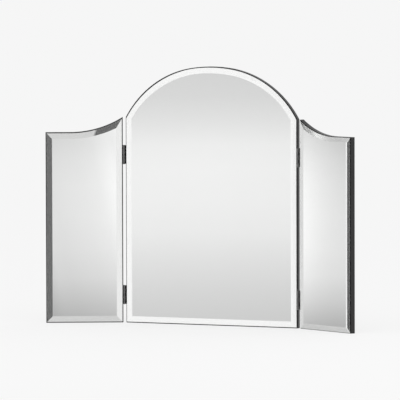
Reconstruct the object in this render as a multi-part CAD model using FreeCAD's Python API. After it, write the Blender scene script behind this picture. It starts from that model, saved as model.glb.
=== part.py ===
# Three-panel dressing table mirror: a wide arched centre panel and two narrow wings that swing
# forward on butt hinges. Each panel is a bevelled, silvered pane stuck with foam tape to a black
# board. Millimetres, +Z up, the mirror faces -Y. The origin is the centre of the centre board's
# bottom face, and the wings are stored swung forward by the rest angle.
import FreeCAD, Part
import math
import os

Vec = FreeCAD.Vector

# Panel outlines
centre_width = 400.0
shoulder_height = 440.0
arch_rise = 109.5
crown_radius = 307.0
crown_width = 90.0
wing_width = 165.0
wing_flat_top = 53.0
wing_sweep_rise = 32.0
wing_rest_angle = 27.0

# Panel layers, from the back
board_thickness = 11.0
board_arris = 0.5
tape_thickness = 1.0
glass_thickness = 3.0

# Panes
glass_inset = 2.1
bevel_width = 12.0
rim_thickness = 1.0
fold_clearance = 1.0

# Mounting tape
tape_width = 20.0
tape_end_margin = 30.0
centre_tape_strips = 4
wing_tape_strips = 2

# Hinges
hinge_height = 40.0
hinge_bottom_inset = 40.0
hinge_top_inset = 60.0
knuckle_count = 5
knuckle_gap = 0.3
pin_radius = 1.2
pin_running_clearance = 0.05
pin_fixed_clearance = 0.02
pin_head_radius = 1.8
pin_head_thickness = 0.6
leaf_thickness = 1.0
leaf_back_setback = 1.0
leaf_corner_radius = 1.5
barrel_slot_clearance = 0.4

# Hinge screws, two in each leaf
screw_spacing = 24.0
screw_length = 15.0
screw_tip_length = 3.0
screw_shank_radius = 1.2
screw_head_radius = 2.2
screw_clearance = 0.05

# A wing's inner corner is level with the centre panel's shoulder.
wing_outer_height = shoulder_height - wing_sweep_rise

# Levels across the thickness, with y = 0 at the middle of the board
board_back = board_thickness / 2
board_front = -board_thickness / 2
glass_back = board_front - tape_thickness
rim_front = glass_back - rim_thickness
glass_front = glass_back - glass_thickness

# The hinge axis runs in the gap between two panels, which is one barrel wide. It lies half the
# fold clearance in front of the panes, so a wing folds flat over the centre pane.
knuckle_bore = pin_radius + pin_running_clearance
barrel_radius = knuckle_bore + leaf_thickness
axis_x = centre_width / 2 + barrel_radius
axis_y = glass_front - fold_clearance / 2
leaf_reach = board_back - leaf_back_setback - axis_y
knuckle_pitch = hinge_height / knuckle_count
lower_hinge = hinge_bottom_inset
upper_hinge = shoulder_height - hinge_top_inset - hinge_height
hinges = {"lower": lower_hinge, "upper": upper_hinge}
sides = {"left": -1, "right": 1}


def line(start, end):
    return Part.LineSegment(start, end).toShape()


def arc(centre, radius, start, end):
    # the shorter arc about the centre from one point to the other
    chord_middle = (start + end) * 0.5
    crown = centre + (chord_middle - centre).normalize() * radius
    return Part.Arc(start, crown, end).toShape()


def arch_circles():
    # The crown arc and, beside it, the haunch arc that leaves it tangentially and ends at the
    # shoulder: the centre and radius of each, for the right half of the arch.
    crown_centre = Vec(0, 0, shoulder_height + arch_rise - crown_radius)
    half_crown = crown_width / 2
    crown_end = crown_centre + Vec(half_crown, 0, math.sqrt(crown_radius**2 - half_crown**2))
    inward = (crown_centre - crown_end).normalize()
    chord = Vec(centre_width / 2, 0, shoulder_height) - crown_end
    haunch_radius = chord.dot(chord) / (2 * chord.dot(inward))
    return crown_centre, crown_end + inward * haunch_radius, haunch_radius


def centre_outline(inset, y):
    # the centre panel's outline, moved inwards by the inset
    crown_centre, haunch_centre, full_haunch = arch_circles()
    haunch_radius = full_haunch - inset
    half_width = centre_width / 2 - inset
    shoulder_rise = math.sqrt(haunch_radius**2 - (half_width - haunch_centre.x) ** 2)
    crown_end = haunch_centre + (haunch_centre - crown_centre).normalize() * haunch_radius

    def half(side):
        foot = Vec(side * half_width, y, inset)
        shoulder = Vec(side * half_width, y, haunch_centre.z + shoulder_rise)
        haunch = Vec(side * haunch_centre.x, y, haunch_centre.z)
        return foot, shoulder, haunch, Vec(side * crown_end.x, y, crown_end.z)

    left_foot, left_shoulder, left_haunch, left_crown = half(-1)
    right_foot, right_shoulder, right_haunch, right_crown = half(1)
    crown = Vec(0, y, crown_centre.z)
    return Part.Wire([
        line(left_foot, right_foot),
        line(right_foot, right_shoulder),
        arc(right_haunch, haunch_radius, right_shoulder, right_crown),
        arc(crown, crown_radius - inset, right_crown, left_crown),
        arc(left_haunch, haunch_radius, left_crown, left_shoulder),
        line(left_shoulder, left_foot),
    ])


def wing_outline(side, inset, y):
    # a wing's outline with the wing laid flat beside the centre panel, moved inwards by the inset
    inner_edge = axis_x + barrel_radius
    run = wing_width - wing_flat_top
    sweep_radius = (run**2 + wing_sweep_rise**2) / (2 * wing_sweep_rise)
    sweep_height = wing_outer_height + sweep_radius
    drop = math.sqrt((sweep_radius + inset) ** 2 - (run - inset) ** 2)

    def point(across, height):
        return Vec(side * (inner_edge + across), y, height)

    inner_foot = point(inset, inset)
    outer_foot = point(wing_width - inset, inset)
    outer_top = point(wing_width - inset, wing_outer_height - inset)
    flat_end = point(run, wing_outer_height - inset)
    inner_top = point(inset, sweep_height - drop)
    return Part.Wire([
        line(inner_foot, outer_foot),
        line(outer_foot, outer_top),
        line(outer_top, flat_end),
        arc(point(run, sweep_height), sweep_radius + inset, flat_end, inner_top),
        line(inner_top, inner_foot),
    ])


def slab(wire, depth):
    return Part.Face(wire).extrude(Vec(0, depth, 0))


def board(outline):
    # a plate with its front and back edges eased
    plate = slab(outline(0, board_front), board_thickness)
    eased = [edge for edge in plate.Edges if edge.BoundBox.YLength < board_arris]
    return plate.makeChamfer(board_arris, eased)


def pane(outline):
    # a flat rim, and a bevel that rises from it to the front face with mitred corners
    rim = outline(glass_inset, rim_front)
    face = outline(glass_inset + bevel_width, glass_front)
    bevel = Part.makeLoft([rim, face], True, True)
    return slab(rim, rim_thickness).fuse(bevel).removeSplitter()


def tape(middle_x, width, height, strips):
    # upright strips spread evenly over the back of a pane
    pitch = width / strips
    length = height - 2 * tape_end_margin
    pieces = []
    for index in range(strips):
        x = middle_x - width / 2 + (index + 0.5) * pitch - tape_width / 2
        corner = Vec(x, glass_back, tape_end_margin)
        pieces.append(Part.makeBox(tape_width, tape_thickness, length, corner))
    return Part.makeCompound(pieces)


def screw(clearance=0.0):
    # A countersunk screw pointing along +X from its head's face. With a clearance it is the tool
    # that cuts its own seat and pilot hole.
    head_depth = screw_head_radius - screw_shank_radius
    corners = [
        Vec(0, 0, 0),
        Vec(0, 0, screw_head_radius + clearance),
        Vec(head_depth, 0, screw_shank_radius + clearance),
        Vec(screw_length - screw_tip_length, 0, screw_shank_radius + clearance),
        Vec(screw_length + clearance, 0, 0),
    ]
    section = Part.Face(Part.makePolygon(corners + corners[:1]))
    return section.revolve(Vec(0, 0, 0), Vec(1, 0, 0), 360)


def screws(side, onto, clearance=0.0):
    # The four screws of one board edge. They enter the board that lies towards onto * X.
    placed = []
    for bottom in hinges.values():
        for offset in (-screw_spacing / 2, screw_spacing / 2):
            one = screw(clearance)
            if onto < 0:
                one.rotate(Vec(0, 0, 0), Vec(0, 0, 1), 180)
            head_x = side * axis_x + onto * (barrel_radius - leaf_thickness)
            one.translate(Vec(head_x, 0, bottom + hinge_height / 2 + offset))
            placed.append(one)
    return Part.makeCompound(placed)


def screw_holes(side, onto):
    return screws(side, onto, screw_clearance)


def knuckle_span(index):
    # a knuckle's bottom and top, short of its neighbours by half the gap
    bottom = index * knuckle_pitch
    top = bottom + knuckle_pitch
    if index > 0:
        bottom += knuckle_gap / 2
    if index < knuckle_count - 1:
        top -= knuckle_gap / 2
    return bottom, top


def leaf(side, onto, bottom, first_knuckle, bore):
    # A leaf lies on the board edge towards onto * X and rolls into every second knuckle.
    # It is made about its own axis and then moved to the gap.
    plate_x = barrel_radius - leaf_thickness if onto > 0 else -barrel_radius
    plate = Part.makeBox(leaf_thickness, leaf_reach, hinge_height, Vec(plate_x, 0, 0))
    corners = [edge for edge in plate.Edges
               if edge.BoundBox.YMin > leaf_reach / 2 and edge.BoundBox.XLength > leaf_thickness / 2]
    plate = plate.makeFillet(leaf_corner_radius, corners)
    slot_depth = barrel_radius + barrel_slot_clearance
    barrel = Part.makeCylinder(barrel_radius, hinge_height)
    shape = plate.fuse(barrel)
    for index in range(knuckle_count):
        if index % 2 == first_knuckle:
            continue
        low = knuckle_span(index - 1)[1] if index > 0 else -knuckle_gap
        high = knuckle_span(index + 1)[0] if index < knuckle_count - 1 else hinge_height + knuckle_gap
        slot_corner = Vec(-2 * barrel_radius, -2 * barrel_radius, low)
        slot = Part.makeBox(4 * barrel_radius, 2 * barrel_radius + slot_depth, high - low, slot_corner)
        shape = shape.cut(slot)
    shape = shape.cut(Part.makeCylinder(bore, hinge_height)).removeSplitter()
    shape.translate(Vec(side * axis_x, axis_y, bottom))
    return shape.cut(screw_holes(side, onto))


def pin(side, bottom):
    # a pin with a peened head at each end of the barrel
    shape = Part.makeCylinder(pin_radius, hinge_height)
    for level in (-pin_head_thickness, hinge_height):
        shape = shape.fuse(Part.makeCylinder(pin_head_radius, pin_head_thickness, Vec(0, 0, level)))
    shape.translate(Vec(side * axis_x, axis_y, bottom))
    return shape.removeSplitter()


def swing(shape, side):
    # turn a wing's piece forward about its hinge axis
    turned = shape.copy()
    turned.rotate(Vec(side * axis_x, axis_y, 0), Vec(0, 0, 1), -side * wing_rest_angle)
    return turned


def centre_panel():
    plate = board(centre_outline)
    for side in sides.values():
        plate = plate.cut(screw_holes(side, -side))
    all_screws = [one for side in sides.values() for one in screws(side, -side).Solids]
    return {
        "centre_board": plate,
        "centre_tape": tape(0, centre_width, shoulder_height, centre_tape_strips),
        "centre_mirror_pane": pane(centre_outline),
        "centre_hinge_screws": Part.makeCompound(all_screws),
    }


def wing_panel(name, side):
    def outline(inset, y):
        return wing_outline(side, inset, y)

    middle = side * (axis_x + barrel_radius + wing_width / 2)
    flat = {
        "board": board(outline).cut(screw_holes(side, side)),
        "tape": tape(middle, wing_width, wing_outer_height, wing_tape_strips),
        "mirror_pane": pane(outline),
        "hinge_screws": screws(side, side),
    }
    return {f"{name}_wing_{piece}": swing(shape, side) for piece, shape in flat.items()}


def hinge(name, side, level, bottom):
    fixed_bore = pin_radius + pin_fixed_clearance
    prefix = f"{name}_{level}_hinge"
    return {
        f"{prefix}_centre_leaf": leaf(side, -side, bottom, 0, fixed_bore),
        f"{prefix}_wing_leaf": swing(leaf(side, side, bottom, 1, knuckle_bore), side),
        f"{prefix}_pin": pin(side, bottom),
    }


parts = centre_panel()
for name, side in sides.items():
    parts.update(wing_panel(name, side))
    for level, bottom in hinges.items():
        parts.update(hinge(name, side, level, bottom))

os.makedirs("parts", exist_ok=True)
for node, shape in parts.items():
    shape.exportStep(f"parts/{node}.step")
    print(node, len(shape.Solids), shape.isValid(), round(shape.Volume, 1))
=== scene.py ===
import math

import bmesh
import bpy
from mathutils import Matrix, Quaternion, Vector


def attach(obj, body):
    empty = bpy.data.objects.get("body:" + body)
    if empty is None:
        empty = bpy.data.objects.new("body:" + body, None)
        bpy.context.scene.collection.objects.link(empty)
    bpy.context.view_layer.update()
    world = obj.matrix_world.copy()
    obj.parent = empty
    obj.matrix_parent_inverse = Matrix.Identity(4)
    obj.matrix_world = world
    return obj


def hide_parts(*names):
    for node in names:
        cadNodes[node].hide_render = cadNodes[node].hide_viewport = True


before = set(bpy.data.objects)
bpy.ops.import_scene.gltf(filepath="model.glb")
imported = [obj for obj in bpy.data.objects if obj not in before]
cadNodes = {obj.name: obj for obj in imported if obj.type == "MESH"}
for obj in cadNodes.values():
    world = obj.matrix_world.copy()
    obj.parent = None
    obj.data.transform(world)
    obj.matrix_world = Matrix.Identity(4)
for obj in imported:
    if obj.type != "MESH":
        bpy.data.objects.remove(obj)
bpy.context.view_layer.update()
scene = bpy.context.scene
scene.view_settings.view_transform = "Standard"
print("frame loaded:", len(cadNodes), "nodes")


# shader nodes: a wire is a socket, and + - * on wires add Math nodes
class Wire:
    def __init__(self, tree, socket=None):
        self.tree = tree
        self.socket = socket

    def node(self, kind, settings=None, sockets=None, out=0):
        made = self.tree.nodes.new(kind)
        for name, value in (settings or {}).items():
            if name == "stops":
                ramp = made.color_ramp
                while len(ramp.elements) < len(value):
                    ramp.elements.new(0.5)
                for stop, (place, grey) in zip(ramp.elements, value):
                    stop.position = place
                    stop.color = (grey, grey, grey, 1)
            else:
                setattr(made, name, value)
        for name, value in (sockets or {}).items():
            if isinstance(value, Wire):
                self.tree.links.new(value.socket, made.inputs[name])
            else:
                made.inputs[name].default_value = value
        return Wire(self.tree, made.outputs[out] if made.outputs else None)

    def math(self, operation, *values):
        return self.node("ShaderNodeMath", {"operation": operation}, dict(enumerate(values)))

    def __add__(self, other):
        return self.math("ADD", self, other)

    def __radd__(self, other):
        return self.math("ADD", other, self)

    def __sub__(self, other):
        return self.math("SUBTRACT", self, other)

    def __rsub__(self, other):
        return self.math("SUBTRACT", other, self)

    def __mul__(self, other):
        return self.math("MULTIPLY", self, other)

    def __rmul__(self, other):
        return self.math("MULTIPLY", other, self)


noiseSpan = (0.3, 0.7)  # where most of a noise node's values lie


def newFinish(name):
    # an empty material, ready for its shader
    finish = bpy.data.materials.new(name)
    finish.use_nodes = True
    finish.node_tree.nodes.clear()
    return finish, Wire(finish.node_tree)


def setSurface(wire, shader):
    wire.node("ShaderNodeOutputMaterial", sockets={"Surface": shader})


def setPrincipled(wire, sockets):
    setSurface(wire, wire.node("ShaderNodeBsdfPrincipled", sockets=sockets))


def objectPlace(wire):
    return wire.node("ShaderNodeTexCoord", out="Object")


def noise(wire, place, scale, detail=2.0, roughness=0.5):
    return wire.node("ShaderNodeTexNoise", sockets={
        "Vector": place, "Scale": scale, "Detail": detail, "Roughness": roughness})


def spread(wire, value, span, result=(0.0, 1.0)):
    # a value within the span, spread over the result
    return wire.node("ShaderNodeMapRange", sockets={
        "Value": value, "From Min": span[0], "From Max": span[1],
        "To Min": result[0], "To Max": result[1]})


def blendColours(wire, share, first, second):
    # sockets 6 and 7 are the Mix node's colours, and output 2 is their blend
    colours = {0: share, 6: (*first, 1), 7: (*second, 1)}
    return wire.node("ShaderNodeMix", {"data_type": "RGBA"}, colours, out=2)


def bump(wire, height, strength, distance):
    return wire.node("ShaderNodeBump", sockets={
        "Height": height, "Strength": strength, "Distance": distance})


# camera
cameraSet = dict(
    aim=(-0.0239, -0.0097, 0.2664),
    distance=9.738,
    turn=24.68,  # degrees round to the viewer's right
    rise=3.19,  # degrees above the aim
    roll=-0.16,
    lens=413.15,
    clipEnd=200,
)


def makeCamera():
    data = bpy.data.cameras.new("camera")
    data.lens = cameraSet["lens"]
    data.clip_end = cameraSet["clipEnd"]
    camera = bpy.data.objects.new("camera", data)
    scene.collection.objects.link(camera)
    turn, rise = math.radians(cameraSet["turn"]), math.radians(cameraSet["rise"])
    back = Vector((math.sin(turn) * math.cos(rise), -math.cos(turn) * math.cos(rise), math.sin(rise)))
    camera.location = Vector(cameraSet["aim"]) + back * cameraSet["distance"]
    camera.rotation_mode = "QUATERNION"
    roll = Quaternion((0, 0, 1), math.radians(cameraSet["roll"]))
    camera.rotation_quaternion = (-back).to_track_quat("-Z", "Y") @ roll
    scene.camera = camera


makeCamera()
print("camera placed")

# pane shapes, in metres: the outlines of the boards, moved in by the inset
paneShape = dict(
    back=-0.00655,  # a hair in front of the tape
    arris=0.0002,
    arrisSteps=2,
    sharpAngle=2.5,  # degrees
    weld=1e-7,
)
paneCut = {
    "centrePane": dict(inset=0.0021, bevel=0.0120, rim=0.00095, front=0.00295),
    "leftWingPane": dict(inset=0.0021, bevel=0.0120, rim=0.00095, front=0.00295),
    # the photo shows less margin and bevel here, and thinner glass keeps it inside the CAD box
    "rightWingPane": dict(inset=0.0012, bevel=0.0106, rim=0.00054, front=0.00254),
}
flatSlot, bevelSlot, rimSlot, silverSlot = range(4)  # the order of a pane's finishes
centreShape = dict(
    halfWidth=0.200,
    shoulder=0.440,
    top=0.5495,
    crownRadius=0.307,
    crownHalf=0.045,
    crownSteps=16,
    haunchSteps=40,
    leftSlack=0.0008,  # the left haunch bulges less, and the right one more
    rightSlack=-0.0005,
    leftDrop=0.0022,  # how far the left shoulder is lower
)
wingShape = dict(
    inner=0.2045, width=0.165, flatTop=0.053, outerHeight=0.408, sweepRise=0.032, sweepSteps=40)
hingeLine = dict(x=0.20225, y=-0.0100, restAngle=27.0)


def growLine(bm, tip, end):
    grown = bmesh.ops.extrude_vert_indiv(bm, verts=[tip])["verts"][0]
    grown.co = end
    return grown


def growArc(bm, tip, centre, end, steps):
    # round the centre from the tip to the end, in the plane of the panel
    start, stop = tip.co - centre, end - centre
    angle = math.atan2(start.z, start.x) - math.atan2(stop.z, stop.x)
    grown = bmesh.ops.spin(
        bm, geom=[tip], cent=centre, axis=(0, 1, 0), angle=angle, steps=steps, dvec=(0, 0, 0))
    return [v for v in grown["geom_last"] if isinstance(v, bmesh.types.BMVert)][0]


def flatterCentre(start, end, radius, slack):
    # centre of an arc from start to end that bulges less, by the slack, than one of this radius
    chord = end - start
    outward = Vector((-chord.z, 0, chord.x)).normalized()
    bulge = radius - math.sqrt(radius**2 - chord.length_squared / 4) - slack
    flatRadius = (chord.length_squared / 4 + bulge**2) / (2 * bulge)
    return (start + end) / 2 - outward * (flatRadius - bulge)


def centreOutline(bm, inset, y):
    half, shoulder = centreShape["halfWidth"], centreShape["shoulder"]
    crownRadius, crownHalf = centreShape["crownRadius"], centreShape["crownHalf"]
    crownCentre = Vector((0, y, centreShape["top"] - crownRadius))
    crownEnd = crownCentre + Vector((crownHalf, 0, math.sqrt(crownRadius**2 - crownHalf**2)))
    inward = (crownCentre - crownEnd).normalized()
    chord = Vector((half, y, shoulder)) - crownEnd
    haunch = chord.dot(chord) / (2 * chord.dot(inward))
    haunchCentre = crownEnd + inward * haunch  # of the board's right haunch
    rise = math.sqrt((haunch - inset) ** 2 - (half - inset - haunchCentre.x) ** 2)
    rightShoulder = Vector((half - inset, y, haunchCentre.z + rise))
    rightCrown = haunchCentre + (haunchCentre - crownCentre).normalized() * (haunch - inset)
    leftShoulder = Vector((-rightShoulder.x, y, rightShoulder.z - centreShape["leftDrop"]))
    leftCrown = Vector((-rightCrown.x, y, rightCrown.z))
    left = flatterCentre(leftShoulder, leftCrown, haunch - inset, centreShape["leftSlack"])
    right = flatterCentre(rightCrown, rightShoulder, haunch - inset, centreShape["rightSlack"])
    tip = bm.verts.new((leftShoulder.x, y, inset))
    tip = growLine(bm, tip, leftShoulder)
    tip = growArc(bm, tip, left, leftCrown, centreShape["haunchSteps"])
    tip = growArc(bm, tip, crownCentre, rightCrown, centreShape["crownSteps"])
    tip = growArc(bm, tip, right, rightShoulder, centreShape["haunchSteps"])
    growLine(bm, tip, Vector((rightShoulder.x, y, inset)))


def wingOutline(bm, inset, y):
    # the right wing, laid flat beside the centre panel
    inner, width = wingShape["inner"], wingShape["width"]
    run, rise = width - wingShape["flatTop"], wingShape["sweepRise"]
    radius = (run**2 + rise**2) / (2 * rise)
    centre = Vector((inner + run, y, wingShape["outerHeight"] + radius))
    drop = math.sqrt((radius + inset) ** 2 - (run - inset) ** 2)
    innerTop = Vector((inner + inset, y, centre.z - drop))
    flatHeight = wingShape["outerHeight"] - inset
    tip = bm.verts.new((inner + inset, y, inset))
    tip = growLine(bm, tip, innerTop)
    tip = growArc(bm, tip, centre, Vector((centre.x, y, flatHeight)), wingShape["sweepSteps"])
    tip = growLine(bm, tip, Vector((inner + width - inset, y, flatHeight)))
    growLine(bm, tip, Vector((inner + width - inset, y, inset)))


def drawSheet(bm, drawOutline, inset, y):
    # one flat face with the outline at this inset
    known = set(bm.verts)
    drawOutline(bm, inset, y)
    drawn = [v for v in bm.verts if v not in known]
    edges = {edge for v in drawn for edge in v.link_edges}
    return bmesh.ops.contextual_create(bm, geom=drawn + list(edges))["faces"][0]


def makePane(name, drawOutline, side, body, node, finishes):
    # side is -1 for the left wing, 1 for the right one and 0 for the centre
    bm = bmesh.new()
    cut, back = paneCut[name], paneShape["back"]
    backFace = drawSheet(bm, drawOutline, cut["inset"], back)
    frontFace = drawSheet(bm, drawOutline, cut["inset"] + cut["bevel"], back - cut["front"])
    grown = bmesh.ops.extrude_face_region(bm, geom=[backFace], use_keep_orig=True)["geom"]
    lid = [f for f in grown if isinstance(f, bmesh.types.BMFace)][0]
    bmesh.ops.translate(bm, verts=lid.verts, vec=(0, -cut["rim"], 0))
    rimEdges = list(lid.edges)
    bmesh.ops.delete(bm, geom=[lid], context="FACES_ONLY")
    slopes = bmesh.ops.bridge_loops(bm, edges=rimEdges + list(frontFace.edges))["faces"]
    for face in bm.faces:
        face.material_index = rimSlot
    for face in slopes:
        face.material_index = bevelSlot
    backFace.material_index = silverSlot
    frontFace.material_index = flatSlot
    bmesh.ops.recalc_face_normals(bm, faces=bm.faces)
    bmesh.ops.bevel(
        bm, geom=rimEdges, offset=paneShape["arris"], affect="EDGES",
        segments=paneShape["arrisSteps"], profile=0.5, material=-1)
    if side:
        hinge = Vector((hingeLine["x"], hingeLine["y"], 0))
        turn = Matrix.Rotation(math.radians(-hingeLine["restAngle"]), 3, "Z")
        bmesh.ops.rotate(bm, cent=hinge, matrix=turn, verts=bm.verts)
    if side < 0:
        bmesh.ops.scale(bm, vec=(-1, 1, 1), verts=bm.verts)
    bmesh.ops.remove_doubles(bm, verts=bm.verts, dist=paneShape["weld"])
    bmesh.ops.recalc_face_normals(bm, faces=bm.faces)
    for face in bm.faces:
        face.smooth = True
    mesh = bpy.data.meshes.new(name)
    bm.to_mesh(mesh)
    bm.free()
    mesh.set_sharp_from_angle(angle=math.radians(paneShape["sharpAngle"]))
    for finish in finishes:
        mesh.materials.append(finish)
    pane = bpy.data.objects.new(name, mesh)
    scene.collection.objects.link(pane)
    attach(pane, body)
    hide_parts(node)
    print("pane:", name, len(mesh.polygons), "faces")


# mirror finishes: clear glass, its ground rim, and the silver behind it
# the bevels are the same glass as the flats, but the centre and right-wing bevels get an almost clear
# tint, lighter than the flats' and the left wing bevel's: painted light on those bevels
glassLook = {
    "paneGlass": dict(tint=(0.925, 0.929, 0.927, 1), clear=1.0, smudgeScale=9.0, rough=(0.0, 0.01)),
    "centreBevelPaintedLight": dict(tint=(0.997, 1.0, 0.997, 1), clear=0.93, smudgeScale=40.0, rough=(0.0, 0.02)),
    "leftWingBevel": dict(tint=(0.92, 0.925, 0.92, 1), clear=0.93, smudgeScale=40.0, rough=(0.0, 0.02)),
    "rightWingBevelPaintedLight": dict(tint=(0.99, 0.995, 0.99, 1), clear=0.93, smudgeScale=40.0, rough=(0.12, 0.15)),
}
glassIor = 1.52
smudgeSpan = (0.45, 0.75)
rimLook = dict(colour=(0.52, 0.56, 0.54, 1), rough=(0.32, 0.52), grainScale=1800.0, bump=(0.4, 0.0001))
silverLook = dict(
    bright=(0.987, 0.987, 0.984), dull=(0.977, 0.977, 0.974), cloudScale=4.0, cloudSpan=(0.35, 0.65))


def makeGlassFinish(name):
    look = glassLook[name]
    finish, wire = newFinish(name)
    smudge = noise(wire, objectPlace(wire), look["smudgeScale"], detail=4.0, roughness=0.6)
    setPrincipled(wire, {
        "Base Color": look["tint"], "IOR": glassIor, "Transmission Weight": look["clear"],
        "Roughness": spread(wire, smudge, smudgeSpan, look["rough"])})
    return finish


def makeRimFinish():
    finish, wire = newFinish("paneRim")
    grain = noise(wire, objectPlace(wire), rimLook["grainScale"])
    setPrincipled(wire, {
        "Base Color": rimLook["colour"], "IOR": glassIor, "Transmission Weight": 1.0,
        "Roughness": spread(wire, grain, noiseSpan, rimLook["rough"]),
        "Normal": bump(wire, grain, *rimLook["bump"])})
    return finish


def makeSilverFinish():
    finish, wire = newFinish("paneSilver")
    cloud = noise(wire, objectPlace(wire), silverLook["cloudScale"], detail=3.0)
    share = spread(wire, cloud, silverLook["cloudSpan"])
    setPrincipled(wire, {
        "Base Color": blendColours(wire, share, silverLook["bright"], silverLook["dull"]),
        "Metallic": 1.0, "Roughness": 0.0})
    return finish


flatGlass, rimGlass, silver = makeGlassFinish("paneGlass"), makeRimFinish(), makeSilverFinish()
centreFinishes = [flatGlass, makeGlassFinish("centreBevelPaintedLight"), rimGlass, silver]
leftFinishes = [flatGlass, makeGlassFinish("leftWingBevel"), rimGlass, silver]
rightFinishes = [flatGlass, makeGlassFinish("rightWingBevelPaintedLight"), rimGlass, silver]
makePane("centrePane", centreOutline, 0, "centre_panel", "centre_mirror_pane", centreFinishes)
makePane("leftWingPane", wingOutline, -1, "left_wing", "left_wing_mirror_pane", leftFinishes)
makePane("rightWingPane", wingOutline, 1, "right_wing", "right_wing_mirror_pane", rightFinishes)

# boards: black satin paint, rolled on
boardLook = dict(
    dark=(0.006, 0.006, 0.0062),
    light=(0.012, 0.012, 0.0125),
    gloss=0.5,
    cloudScale=14.0,
    peelScale=420.0,
    peelShare=0.5,  # of the peel beside the cloud, in the roughness
    roughSpan=(0.45, 1.05),
    rough=(0.23, 0.37),
    bump=(0.25, 0.0002),
)


def makeBoardFinish():
    finish, wire = newFinish("boardPaint")
    place = objectPlace(wire)
    cloud = noise(wire, place, boardLook["cloudScale"], detail=4.0, roughness=0.6)
    peel = noise(wire, place, boardLook["peelScale"], detail=3.0, roughness=0.55)
    share = spread(wire, cloud, noiseSpan)
    uneven = cloud + peel * boardLook["peelShare"]
    setPrincipled(wire, {
        "Base Color": blendColours(wire, share, boardLook["dark"], boardLook["light"]),
        "Roughness": spread(wire, uneven, boardLook["roughSpan"], boardLook["rough"]),
        "Specular IOR Level": boardLook["gloss"],
        "Normal": bump(wire, peel, *boardLook["bump"])})
    return finish


# hinges, pins and screws: blackened steel
steelLook = {
    "hingeSteel": dict(
        dark=(0.13, 0.13, 0.132), light=(0.21, 0.208, 0.205), rough=(0.12, 0.28), grainScale=900.0),
    "pinSteel": dict(
        dark=(0.11, 0.11, 0.112), light=(0.17, 0.168, 0.165), rough=(0.2, 0.36), grainScale=1200.0),
    "screwSteel": dict(
        dark=(0.05, 0.05, 0.052), light=(0.09, 0.088, 0.085), rough=(0.27, 0.43), grainScale=1000.0),
}
steelGrain = dict(patchSize=8, bump=(0.15, 0.0001))  # a patch is 8 grains wide


def makeSteelFinish(name):
    look = steelLook[name]
    finish, wire = newFinish(name)
    place = objectPlace(wire)
    grain = noise(wire, place, look["grainScale"], detail=3.0, roughness=0.6)
    patch = noise(wire, place, look["grainScale"] / steelGrain["patchSize"])
    share = spread(wire, patch, noiseSpan)
    setPrincipled(wire, {
        "Base Color": blendColours(wire, share, look["dark"], look["light"]), "Metallic": 1.0,
        "Roughness": spread(wire, grain, noiseSpan, look["rough"]),
        "Normal": bump(wire, grain, *steelGrain["bump"])})
    return finish


# tape: dark foam
tapeLook = dict(
    dark=(0.05, 0.05, 0.052), light=(0.08, 0.08, 0.082), cellScale=2200.0, rough=0.9, bump=(0.5, 0.0002))


def makeTapeFinish():
    finish, wire = newFinish("tapeFoam")
    cells = wire.node("ShaderNodeTexVoronoi", sockets={
        "Vector": objectPlace(wire), "Scale": tapeLook["cellScale"]})
    setPrincipled(wire, {
        "Base Color": blendColours(wire, cells, tapeLook["dark"], tapeLook["light"]),
        "Roughness": tapeLook["rough"], "Normal": bump(wire, cells, *tapeLook["bump"])})
    return finish


def dressNodes():
    # by the last word of a node's name; the CAD panes have none of these, as they are replaced
    finishes = {
        "board": makeBoardFinish(),
        "tape": makeTapeFinish(),
        "screws": makeSteelFinish("screwSteel"),
        "leaf": makeSteelFinish("hingeSteel"),
        "pin": makeSteelFinish("pinSteel"),
    }
    for name, node in cadNodes.items():
        kind = name.split("_")[-1]
        if kind in finishes:
            node.material_slots[0].material = finishes[kind]


dressNodes()
print("boards, tape and hinges dressed")

# floor: pale, and keeps a faint shadow
floorLook = dict(radius=90.0, segments=96, white=0.967, shadowShare=0.2, colour=(0.82, 0.82, 0.82, 1))


def rayKind(wire, kind):
    # 1 for rays of this kind, and 0 for others
    return wire.node("ShaderNodeLightPath", out=kind)


def makeFloor():
    finish, wire = newFinish("floorPale")
    white = floorLook["white"]
    glow = wire.node("ShaderNodeEmission", sockets={"Color": (white, white, white, 1)})
    matt = wire.node("ShaderNodeBsdfDiffuse", sockets={"Color": floorLook["colour"]})
    share = rayKind(wire, "Is Camera Ray") * (1 - floorLook["shadowShare"])
    setSurface(wire, wire.node("ShaderNodeMixShader", sockets={0: share, 1: matt, 2: glow}))
    bm = bmesh.new()
    bmesh.ops.create_circle(
        bm, cap_ends=True, radius=floorLook["radius"], segments=floorLook["segments"])
    mesh = bpy.data.meshes.new("floor")
    bm.to_mesh(mesh)
    bm.free()
    mesh.materials.append(finish)
    floor = bpy.data.objects.new("floor", mesh)
    scene.collection.objects.link(floor)
    floor.visible_glossy = False
    floor.visible_transmission = False


# the pale room that the panes mirror, by degrees round from the front and degrees up
roomLook = dict(
    white=0.9216,  # as the camera sees it
    light=0.9,  # as it lights the object
    paneUp=(-6.4, -0.2),  # degrees up of the stretch across from the panes
    paneSoft=(1.0, 0.8),
    skewLevel=3.2,  # degrees below level where the skew of a pane's light is nil
)
roomRound = [
    (-180, 0.7), (-100, 0.75), (-90, 1.0), (-84, 1.0), (-82.8, 0.69), (-78, 0.66), (-68, 0.74),
    (-59, 0.79), (-50, 1.0), (-12, 1.0), (-6, 0.91), (8, 0.91), (15, 1.0), (19, 0.97), (24, 0.78),
    (27, 0.73), (31, 0.71), (48, 0.8), (90, 0.75), (180, 0.7)]
roomUp = [
    (-90, 0.76), (-30, 0.78), (-18, 0.82), (-16, 1.0), (8, 1.0), (14, 0.94), (40, 0.88), (90, 0.82)]
# two dark openings and a brighter stretch of the room, which the wings' bevels catch
roomPatches = [
    dict(dim=0.95, round=(35.7, 38.7), up=(-5.8, -0.9), softRound=(0.7, 0.7), softUp=(0.8, 0.8)),
    dict(dim=0.95, round=(30.38, 34.2), up=(-13.4, -9.4), softRound=(0.3, 0.7), softUp=(0.7, 0.7)),
    dict(dim=-0.6, round=(-54.0, -30.0), up=(-22.0, -11.0), softRound=(2.0, 2.0), softUp=(1.5, 1.5)),
]
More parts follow.
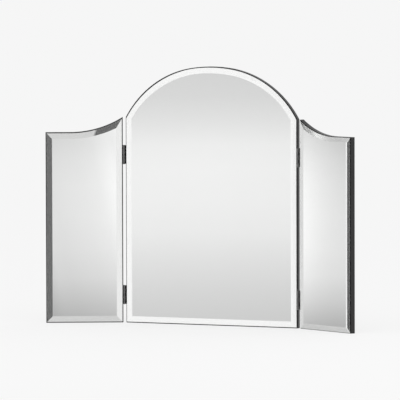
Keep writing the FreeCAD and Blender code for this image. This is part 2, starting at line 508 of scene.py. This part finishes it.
# the part of the room straight across from each pane, where its light falls off
paneViews = {
    "centre": dict(
        round=(-29.0, -20.0), soft=1.5, skew=0.0,
        across=[(-25.6, 1.0), (-24.6, 1.0), (-23.6, 0.985)],
        up=[(-4.66, 0.675), (-4.3, 0.74), (-3.95, 0.82), (-3.6, 0.905), (-3.2, 0.945),
            (-2.8, 0.955), (-2.5, 0.93), (-2.2, 0.83), (-1.9, 0.75), (-1.62, 0.72)]),
    "leftWing": dict(
        round=(26.0, 29.6), soft=0.5, skew=0.2,
        across=[(27.22, 0.85), (27.28, 0.89), (27.36, 0.935), (27.5, 0.935), (27.7, 0.97),
                (27.9, 1.0), (28.1, 1.055), (28.3, 1.185), (28.38, 1.19), (28.44, 1.25)],
        up=[(-4.75, 0.5), (-4.45, 0.635), (-4.15, 0.765), (-3.8, 0.84), (-3.4, 0.88),
            (-3.0, 0.88), (-2.7, 0.84), (-2.45, 0.775)]),
    "rightWing": dict(
        round=(-79.4, -74.8), soft=0.6, skew=-0.2,
        across=[(-77.5, 1.34), (-77.3, 1.19), (-77.15, 1.09), (-77.0, 1.01), (-76.85, 0.965),
                (-76.7, 0.94)],
        up=[(-4.75, 0.535), (-4.45, 0.715), (-4.15, 0.84), (-3.8, 0.875), (-3.4, 0.86),
            (-3.0, 0.8), (-2.7, 0.72), (-2.45, 0.62), (-2.2, 0.535)]),
}


def glowAlong(wire, value, stops):
    # brightness by stops along a value, in the value's own units
    low, high = stops[0][0], stops[-1][0]
    share = spread(wire, value, (low, high))
    places = [((v - low) / (high - low), grey) for v, grey in stops]
    return wire.node("ShaderNodeValToRGB", {"stops": places}, {"Fac": share})


def window(wire, value, ends, soft):
    # 1 between the ends, fading to 0 at them
    first = spread(wire, value, (ends[0], ends[0] + soft[0]))
    last = spread(wire, value, (ends[1] - soft[1], ends[1]), (1.0, 0.0))
    return first * last


def roomGlow(wire):
    place = wire.node("ShaderNodeTexCoord", out="Generated")
    parts = wire.node("ShaderNodeSeparateXYZ", sockets={"Vector": place}).socket.node
    x, y, z = [Wire(wire.tree, out) for out in parts.outputs]
    turn = wire.math("DEGREES", wire.math("ARCTAN2", x, 0 - y))
    rise = wire.math("DEGREES", wire.math("ARCSINE", z))
    glow = glowAlong(wire, turn, roomRound) * glowAlong(wire, rise, roomUp)
    for patch in roomPatches:
        beside = window(wire, turn, patch["round"], patch["softRound"])
        inside = beside * window(wire, rise, patch["up"], patch["softUp"])
        glow = glow * (1 - inside * patch["dim"])
    for view in paneViews.values():
        beside = window(wire, turn, view["round"], (view["soft"], view["soft"]))
        inside = beside * window(wire, rise, roomLook["paneUp"], roomLook["paneSoft"])
        skewed = turn + (rise + roomLook["skewLevel"]) * view["skew"]
        seen = glowAlong(wire, skewed, view["across"]) * glowAlong(wire, rise, view["up"])
        glow = glow + inside * (seen - glow)
    return glow


def makeRoom():
    world = bpy.data.worlds.new("paleRoom")
    world.use_nodes = True
    world.node_tree.nodes.clear()
    wire = Wire(world.node_tree)
    camera = rayKind(wire, "Is Camera Ray")
    mirrored = wire.math(
        "MAXIMUM", rayKind(wire, "Is Glossy Ray"), rayKind(wire, "Is Transmission Ray"))
    light = roomLook["light"]
    strength = light + camera * (roomLook["white"] - light) + mirrored * (roomGlow(wire) - light)
    glow = wire.node("ShaderNodeBackground", sockets={"Color": (1, 1, 1, 1), "Strength": strength})
    wire.node("ShaderNodeOutputWorld", sockets={"Surface": glow})
    scene.world = world


lampSet = [
    dict(name="topLamp", place=(0.3, -0.9, 1.9), aim=(0, 0, 0.25), size=1.4, power=4.0),
    dict(name="rightLamp", place=(2.2, -0.6, 1.3), aim=(0, 0, 0.25), size=1.2, power=6.0),
]


def makeLamps():
    for lamp in lampSet:
        data = bpy.data.lights.new(lamp["name"], "AREA")
        data.shape = "DISK"
        data.size = lamp["size"]
        data.energy = lamp["power"]
        light = bpy.data.objects.new(lamp["name"], data)
        light.location = lamp["place"]
        light.rotation_mode = "QUATERNION"
        light.rotation_quaternion = (Vector(lamp["aim"]) - light.location).to_track_quat("-Z", "Y")
        light.visible_transmission = False
        scene.collection.objects.link(light)


makeFloor()
makeRoom()
makeLamps()
print("floor, room and lamps set")
